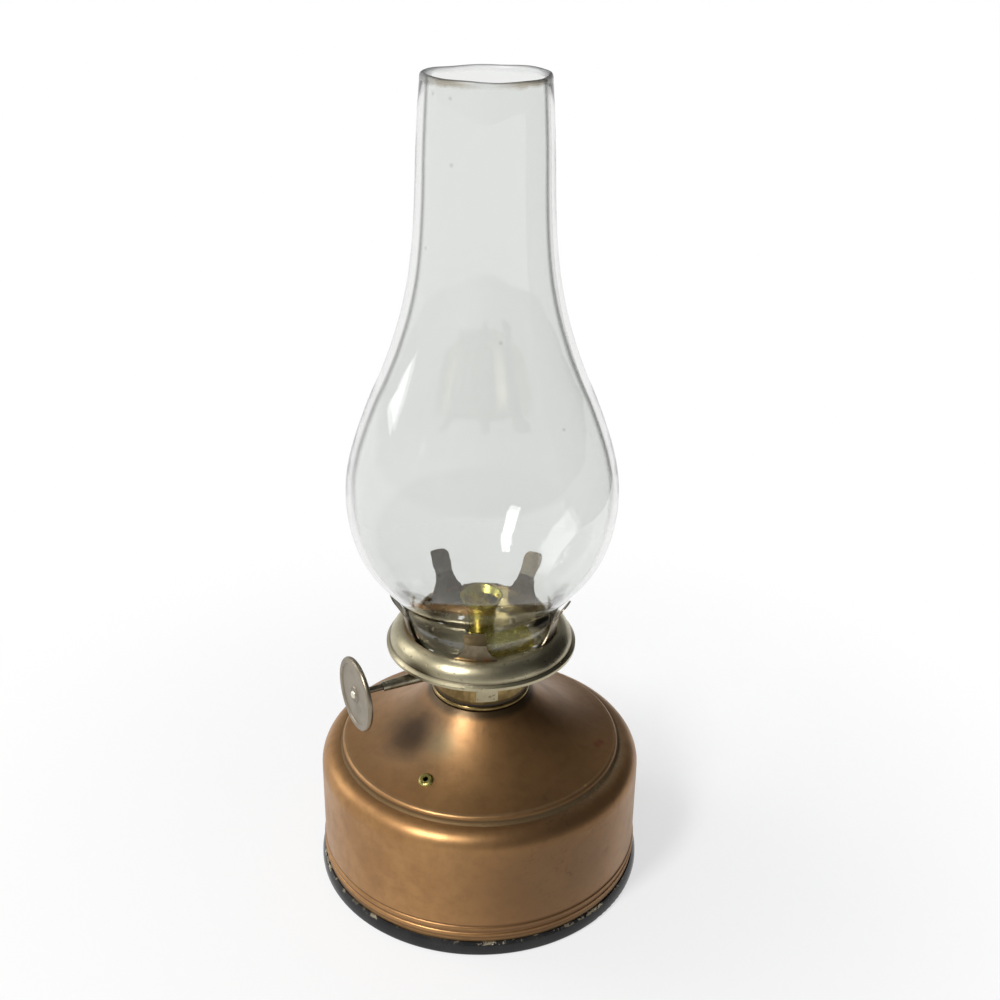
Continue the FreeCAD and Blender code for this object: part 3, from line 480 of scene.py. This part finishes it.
wick_work = bmesh.new()
turns = WICK_LENGTH / TWIST_PITCH
steps = round(turns * STEPS_PER_TURN)
lift = WICK_LENGTH / steps
upright = Matrix.Rotation(math.atan2(TWIST_PITCH, math.tau * WICK_RADIUS) * 0.15, 4, "X")
for number in range(STRANDS):
    laid = Matrix.Rotation(math.tau * number / STRANDS, 4, "Z")
    out = Matrix.Translation(point(WICK_RADIUS - STRAND_RADIUS, 0, WICK_FOOT))
    ring = bmesh.ops.create_circle(wick_work, cap_ends=True, radius=STRAND_RADIUS * MM, segments=10,
                                   matrix=laid @ out @ upright)
    ring_faces = {face for vert in ring["verts"] for face in vert.link_faces}
    ring_edges = {edge for vert in ring["verts"] for edge in vert.link_edges}
    bmesh.ops.spin(wick_work, geom=ring["verts"] + list(ring_edges) + list(ring_faces), axis=(0, 0, 1),
                   cent=(0, 0, 0), angle=math.tau * turns, dvec=(0, 0, lift * MM), steps=steps)
bmesh.ops.create_cone(wick_work, cap_ends=True, segments=20, radius1=CORE_RADIUS * MM,
                      radius2=CORE_RADIUS * MM, depth=(WICK_LENGTH - 0.6) * MM,
                      matrix=Matrix.Translation(point(0, 0, (WICK_TOP + WICK_FOOT) / 2)))
for number in range(FRAYS):
    swing = Matrix.Rotation(number * FRAY_SWING, 4, "Z")
    fray_radius = WICK_RADIUS * math.sqrt((number + 0.5) / FRAYS) * 0.92
    out = Matrix.Translation(point(fray_radius, 0, WICK_TOP - 0.15))
    lean = Matrix.Rotation(0.12 + 0.3 * math.sin(number * 1.7), 4, "Y")
    tall = 0.7 + 0.35 * math.sin(number * 4.1)
    bmesh.ops.create_cone(wick_work, cap_ends=True, segments=5, radius1=0.07 * MM, radius2=0.02 * MM,
                          depth=tall * MM, matrix=swing @ out @ lean)
bmesh.ops.recalc_face_normals(wick_work, faces=wick_work.faces)
finished_piece("cotton_wick", wick_work, cotton, "wick", "cotton", "wick")


# Chimney: blown clear glass, bulged over the flame and drawn in to the stack, standing on the gallery floor.
# Its top is fire-polished, a little wavy and browned, and its wall holds small seeds and draw lines.
GLASS_WALL = 1.5
RIM_WALL = 1.0
DRAWN_FROM = 150.0
MELTED_FROM = 160.0
GLASS_TOP = 167.5
GLASS_STATIONS = (
    (14.3, 53.5), (15.05, 58.0), (15.65, 61.2), (15.95, 62.4), (17.6, 66.0), (20.8, 70.0), (24.2, 75.0),
    (26.05, 80.0), (26.85, 85.0), (26.95, 88.0), (26.6, 92.5), (25.6, 97.0), (24.0, 102.0), (21.9, 107.5),
    (19.5, 113.0), (16.95, 120.0), (14.8, 128.0), (13.5, 136.0), (12.85, 144.0), (12.35, 156.0),
    (11.6, 166.3))
GLASS_RIM = ((11.4, 167.3), (11.1, GLASS_TOP), (10.75, 167.3))
GLASS_RIM_RING = (11.1, GLASS_TOP - 0.2)
KNEE_HEIGHT = 61.8
KNEE_SWELL = 0.3
KNEE_REACH = 0.9
FOOT_ROUND = 0.35
FOOT_INSIDE = 53.45
FOOT_OUTSIDE = 53.42
GLASS_STEPS = 192
GLASS_SEEDS = ((-8.8, -7.7, 165.0), (-5.8, -10.2, 164.6), (-5.6, -11.1, 153.8), (-10.4, -8.3, 138.7),
               (14.9, -15.9, 107.8), (3.2, -15.6, 123.9))
LINE_FOOT = 80.0
LINE_FULL = 100.0
BULB_LEVEL = 95.0
STACK_LEVEL = 135.0
BURNT_LEFT = (-7.0, -9.0, GLASS_TOP)
BURNT_RIGHT = (8.0, -8.5, GLASS_TOP)


def turned(name, outline, steps):
    """Ring turned about the lamp's axis from a closed smooth outline of radius and height in millimetres."""
    curve = bpy.data.curves.new(name, "CURVE")
    curve.dimensions = "3D"
    spline = curve.splines.new("BEZIER")
    spline.bezier_points.add(len(outline) - 1)
    spline.use_cyclic_u = True
    spline.resolution_u = 5
    for knot, (radius, height) in zip(spline.bezier_points, outline):
        knot.co = point(radius, 0, height)
        knot.handle_left_type = "AUTO"
        knot.handle_right_type = "AUTO"
    holder = bpy.data.objects.new(name, curve)
    section = bpy.data.meshes.new_from_object(holder)
    work = bmesh.new()
    work.from_mesh(section)
    bpy.data.objects.remove(holder)
    bpy.data.curves.remove(curve)
    bpy.data.meshes.remove(section)
    bmesh.ops.spin(work, geom=work.verts[:] + work.edges[:], axis=(0, 0, 1), cent=(0, 0, 0), angle=math.tau,
                   steps=steps, use_merge=True)
    bmesh.ops.remove_doubles(work, verts=work.verts, dist=0.0001 * MM)
    bmesh.ops.recalc_face_normals(work, faces=work.faces)
    return work


clear_glass, tree, shader = new_finish("blown_glass", 0.0)
shader.inputs["Transmission Weight"].default_value = 1.0
shader.inputs["IOR"].default_value = 1.5
top_edge = ring_mask(tree, GLASS_RIM_RING, 1.5, 1.2)
burnt = reckon(tree, "MAXIMUM", spot_mask(tree, BURNT_LEFT, 8.0, 5.0), spot_mask(tree, BURNT_RIGHT, 9.0, 5.0))
browned = reckon(tree, "MULTIPLY", top_edge, burnt)
seeds = patchy(tree, 330.0, 0.755, 0.79)
for seed in GLASS_SEEDS:
    seeds = reckon(tree, "MAXIMUM", seeds, spot_mask(tree, seed, 0.6))
pane = stained(tree, browned, 0.8, (0.852, 0.862, 0.848, 1), (0.400, 0.330, 0.220, 1))
pane = stained(tree, seeds, 0.6, pane, (0.420, 0.420, 0.400, 1))

# Painted dark lines stand in for the wall's dark edges: one where the bore turns edge-on, nearer the outline
# on the bulb than on the stack, and one along the outline.
edge_on = put(tree, "ShaderNodeLayerWeight", {"Blend": 0.5}).outputs["Facing"]
spot = put(tree, "ShaderNodeTexCoord").outputs
level = along(tree, "Z", spot["Object"])
outward = moved(tree, "MULTIPLY", spot["Object"], (1, 1, 0))
near_wall = reckon(tree, "GREATER_THAN", measured(tree, "DOT_PRODUCT", spot["Normal"], outward), 0.0)
nearer = spread(tree, fade(tree, level, BULB_LEVEL * MM, STACK_LEVEL * MM), 0.15, 0.0)
bore_edge = reckon(tree, "SUBTRACT", edge_on, nearer)
bore_line = reckon(tree, "SUBTRACT", fade(tree, bore_edge, 0.45, 0.53), fade(tree, bore_edge, 0.54, 0.62))
upper_part = fade(tree, level, LINE_FOOT * MM, LINE_FULL * MM)
bore_line = reckon(tree, "MULTIPLY", bore_line, reckon(tree, "MULTIPLY", near_wall, upper_part))
outer_line = reckon(tree, "MULTIPLY", fade(tree, edge_on, 0.82, 0.97), 0.6)
wall_lines = reckon(tree, "MAXIMUM", reckon(tree, "MULTIPLY", bore_line, 0.9), outer_line)
pane = tinted(tree, wall_lines, pane, (0.105, 0.108, 0.100, 1))
draw_lines = reckon(tree, "MULTIPLY", scratched(tree, (140, 140, 9), 0.2), 0.06)
ripple = reckon(tree, "ADD", patchy(tree, 42.0, 0.2, 0.8), draw_lines)
frosted = reckon(tree, "MAXIMUM", reckon(tree, "MULTIPLY", seeds, 0.12),
                 reckon(tree, "MULTIPLY", top_edge, 0.45))
give(tree, shader, pane, frosted, reckon(tree, "ADD", ripple, seeds), 0.012)

inner = []
for radius, height in reversed(GLASS_STATIONS):
    drawn_out = max(0.0, (height - DRAWN_FROM) / (GLASS_TOP - DRAWN_FROM))
    swell = KNEE_SWELL * math.exp(-((height - KNEE_HEIGHT) / KNEE_REACH) ** 2)
    inner.append((radius - GLASS_WALL + (GLASS_WALL - RIM_WALL) * drawn_out - swell, height))
foot = [(inner[-1][0] + FOOT_ROUND, FOOT_INSIDE), (GLASS_STATIONS[0][0] - FOOT_ROUND, FOOT_OUTSIDE)]
glass_work = turned("glass_outline", [*GLASS_STATIONS, *GLASS_RIM, *inner, *foot], GLASS_STEPS)
for vert in glass_work.verts:
    heat = max(0.0, (vert.co.z / MM - MELTED_FROM) / (GLASS_TOP - MELTED_FROM)) ** 3
    bearing = math.atan2(vert.co.y, vert.co.x)
    vert.co.z += heat * MM * (0.16 * math.sin(2 * bearing + 0.6) + 0.06 * math.sin(7 * bearing + 2.0))
    swell = 1 + heat * (0.006 * math.sin(2 * bearing + 0.9) + 0.002 * math.sin(5 * bearing))
    vert.co.x *= swell
    vert.co.y *= swell
chimney = finished_piece("glass_chimney", glass_work, clear_glass, "chimney", "clear_glass", "chimney")
chimney.visible_shadow = False


# Studio: a pale floor, white far from the lamp, under a soft key light from the front left and a weak one
# from the left, in a grey surround that darkens upwards and to the right. A black card at the right, seen
# only by shining surfaces, darkens that side of the metal.
FLOOR_HALF = 4.0
CARD_X = 0.24
CARD_FRONT = -0.10
CARD_BACK = 0.25
CARD_TOP = 0.34
LAMP_MIDDLE = Vector(point(0, 0, 60))

paper = bpy.data.materials.new("white_paper")
paper.use_nodes = True
tree = paper.node_tree
tree.nodes.clear()
matte = put(tree, "ShaderNodeBsdfDiffuse", {"Color": (0.9, 0.9, 0.9, 1)})
glow = put(tree, "ShaderNodeEmission", {"Color": (1, 1, 1, 1), "Strength": 1.0})
path = put(tree, "ShaderNodeLightPath").outputs
seen = reckon(tree, "MAXIMUM", path["Is Camera Ray"],
              reckon(tree, "MAXIMUM", path["Is Glossy Ray"], path["Is Transmission Ray"]))
from_lamp = measured(tree, "LENGTH", here(tree))
lit = spread(tree, fade(tree, from_lamp, 0.04, 0.16), 0.66, 1.0)
shown = put(tree, "ShaderNodeMixShader", {0: reckon(tree, "MULTIPLY", seen, lit), 1: matte.outputs[0],
                                          2: glow.outputs[0]})
tree.links.new(shown.outputs[0], put(tree, "ShaderNodeOutputMaterial").inputs["Surface"])

floor_work = bmesh.new()
bmesh.ops.create_grid(floor_work, x_segments=1, y_segments=1, size=FLOOR_HALF)
floor = new_object("studio_floor", floor_work, paper)

world = bpy.data.worlds.new("studio_surround")
bpy.context.scene.world = world
world.use_nodes = True
tree = world.node_tree
skyward = put(tree, "ShaderNodeTexCoord").outputs["Generated"]
overhead = spread(tree, fade(tree, along(tree, "Z", skyward), 0.05, 0.75), 1.0, 0.4)
right_hand = spread(tree, fade(tree, along(tree, "X", skyward), -0.6, 0.6), 1.0, 0.35)
surround = reckon(tree, "MULTIPLY", reckon(tree, "MULTIPLY", overhead, right_hand), 0.72)
tree.nodes["Background"].inputs["Color"].default_value = (0.96, 0.98, 1.0, 1)
tree.links.new(surround, tree.nodes["Background"].inputs["Strength"])


def soft_box(name, place, width, height, watts):
    """Rectangular soft light turned to the lamp."""
    light = bpy.data.lights.new(name, "AREA")
    light.shape = "RECTANGLE"
    light.size = width
    light.size_y = height
    light.energy = watts
    holder = bpy.data.objects.new(name, light)
    holder.location = place
    holder.rotation_euler = (LAMP_MIDDLE - Vector(place)).to_track_quat("-Z", "Y").to_euler()
    bpy.context.scene.collection.objects.link(holder)


soft_box("key_light", (-0.34, -0.42, 0.62), 0.14, 0.22, 4.4)
soft_box("left_light", (-0.5, 0.14, 0.32), 0.25, 0.35, 0.8)

card_black, tree, shader = new_finish("card_black", 0.0)
shader.inputs["Base Color"].default_value = (0.02, 0.02, 0.02, 1)
shader.inputs["Roughness"].default_value = 1.0
card_work = bmesh.new()
bmesh.ops.create_grid(card_work, x_segments=1, y_segments=1, size=0.5)
bmesh.ops.rotate(card_work, verts=card_work.verts, cent=(0, 0, 0),
                 matrix=Matrix.Rotation(math.radians(90), 3, "Y"))
bmesh.ops.scale(card_work, verts=card_work.verts, vec=(1, CARD_BACK - CARD_FRONT, CARD_TOP))
bmesh.ops.translate(card_work, verts=card_work.verts,
                    vec=(CARD_X, (CARD_FRONT + CARD_BACK) / 2, CARD_TOP / 2))
card = new_object("right_card", card_work, card_black)
card.visible_camera = False
card.visible_diffuse = False
card.visible_shadow = False
card.visible_transmission = False


# Camera: stands in front of the lamp and a little above it, as the photograph was taken. Its place, lens and
# tilt were fitted to the lamp's outline.
CAMERA_PLACE = (0.0035, -0.239, 0.200)
CAMERA_PITCH = 25.52
CAMERA_ROLL = 0.9
FOCAL_LENGTH = 47.99
SENSOR_WIDTH = 36.0

lens = bpy.data.cameras.new("photo_camera")
lens.lens = FOCAL_LENGTH
lens.sensor_width = SENSOR_WIDTH
lens.clip_start = 0.01
camera = bpy.data.objects.new("photo_camera", lens)
bpy.context.scene.collection.objects.link(camera)
tilt = Matrix.Rotation(math.radians(90 - CAMERA_PITCH), 4, "X")
roll = Matrix.Rotation(math.radians(CAMERA_ROLL), 4, "Z")
camera.matrix_world = Matrix.Translation(CAMERA_PLACE) @ tilt @ roll
bpy.context.scene.camera = camera
bpy.context.scene.view_settings.view_transform = "Standard"
